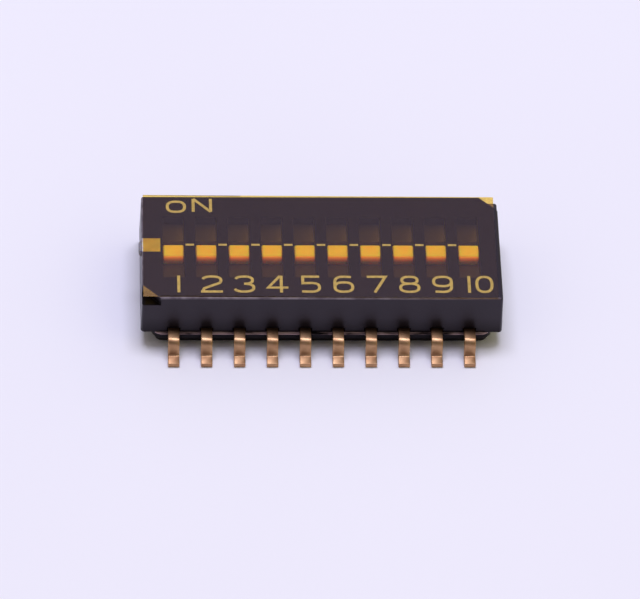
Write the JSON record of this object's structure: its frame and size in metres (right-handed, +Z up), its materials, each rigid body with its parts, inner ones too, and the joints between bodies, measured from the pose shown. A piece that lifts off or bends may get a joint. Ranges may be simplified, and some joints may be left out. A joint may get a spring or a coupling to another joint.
{
  "type": "dip switch",
  "caption": "Half-pitch slide DIP switch for surface mounting: black housing, row of white knobs in pockets under an amber sealing film, gull-wing gold leads.",
  "frame": {"origin": "centre of the footprint, on the plane of the circuit board, under the feet of the leads", "axes": "+X along the row from position 1 to position 10, +Y from the OFF side to the ON side, +Z up out of the board"},
  "size_m": [0.0141, 0.008, 0.0026],
  "materials": {
    "housing": "black moulded liquid crystal polymer, slightly glossy",
    "film": "thin amber polyimide film, clear",
    "tab": "light grey moulded plastic",
    "slider": "white moulded plastic",
    "lead": "gold-plated copper alloy, satin",
    "spring": "gold-plated spring strip"
  },
  "bodies": {
    "housing": {"base": "housing", "cover": "housing", "seal_film": "film", "index_tab": "tab", "terminal_front_01": "lead", "terminal_front_02": "lead", "terminal_front_03": "lead", "terminal_front_04": "lead", "terminal_front_05": "lead", "terminal_front_06": "lead", "terminal_front_07": "lead", "terminal_front_08": "lead", "terminal_front_09": "lead", "terminal_front_10": "lead", "terminal_back_01": "lead", "terminal_back_02": "lead", "terminal_back_03": "lead", "terminal_back_04": "lead", "terminal_back_05": "lead", "terminal_back_06": "lead", "terminal_back_07": "lead", "terminal_back_08": "lead", "terminal_back_09": "lead", "terminal_back_10": "lead"},
    "knob_01": {"slider_01": "slider", "contact_01": "spring"},
    "knob_02": {"slider_02": "slider", "contact_02": "spring"},
    "knob_03": {"slider_03": "slider", "contact_03": "spring"},
    "knob_04": {"slider_04": "slider", "contact_04": "spring"},
    "knob_05": {"slider_05": "slider", "contact_05": "spring"},
    "knob_06": {"slider_06": "slider", "contact_06": "spring"},
    "knob_07": {"slider_07": "slider", "contact_07": "spring"},
    "knob_08": {"slider_08": "slider", "contact_08": "spring"},
    "knob_09": {"slider_09": "slider", "contact_09": "spring"},
    "knob_10": {"slider_10": "slider", "contact_10": "spring"}
  },
  "joints": [
    {"name": "knob_01_slide", "type": "slide", "parent": "housing", "child": "knob_01", "axis": [0, 1, 0], "range_m": [0, 0.0004]},
    {"name": "knob_02_slide", "type": "slide", "parent": "housing", "child": "knob_02", "axis": [0, 1, 0], "range_m": [0, 0.0004]},
    {"name": "knob_03_slide", "type": "slide", "parent": "housing", "child": "knob_03", "axis": [0, 1, 0], "range_m": [0, 0.0004]},
    {"name": "knob_04_slide", "type": "slide", "parent": "housing", "child": "knob_04", "axis": [0, 1, 0], "range_m": [0, 0.0004]},
    {"name": "knob_05_slide", "type": "slide", "parent": "housing", "child": "knob_05", "axis": [0, 1, 0], "range_m": [0, 0.0004]},
    {"name": "knob_06_slide", "type": "slide", "parent": "housing", "child": "knob_06", "axis": [0, 1, 0], "range_m": [0, 0.0004]},
    {"name": "knob_07_slide", "type": "slide", "parent": "housing", "child": "knob_07", "axis": [0, 1, 0], "range_m": [0, 0.0004]},
    {"name": "knob_08_slide", "type": "slide", "parent": "housing", "child": "knob_08", "axis": [0, 1, 0], "range_m": [0, 0.0004]},
    {"name": "knob_09_slide", "type": "slide", "parent": "housing", "child": "knob_09", "axis": [0, 1, 0], "range_m": [0, 0.0004]},
    {"name": "knob_10_slide", "type": "slide", "parent": "housing", "child": "knob_10", "axis": [0, 1, 0], "range_m": [0, 0.0004]}
  ]
}
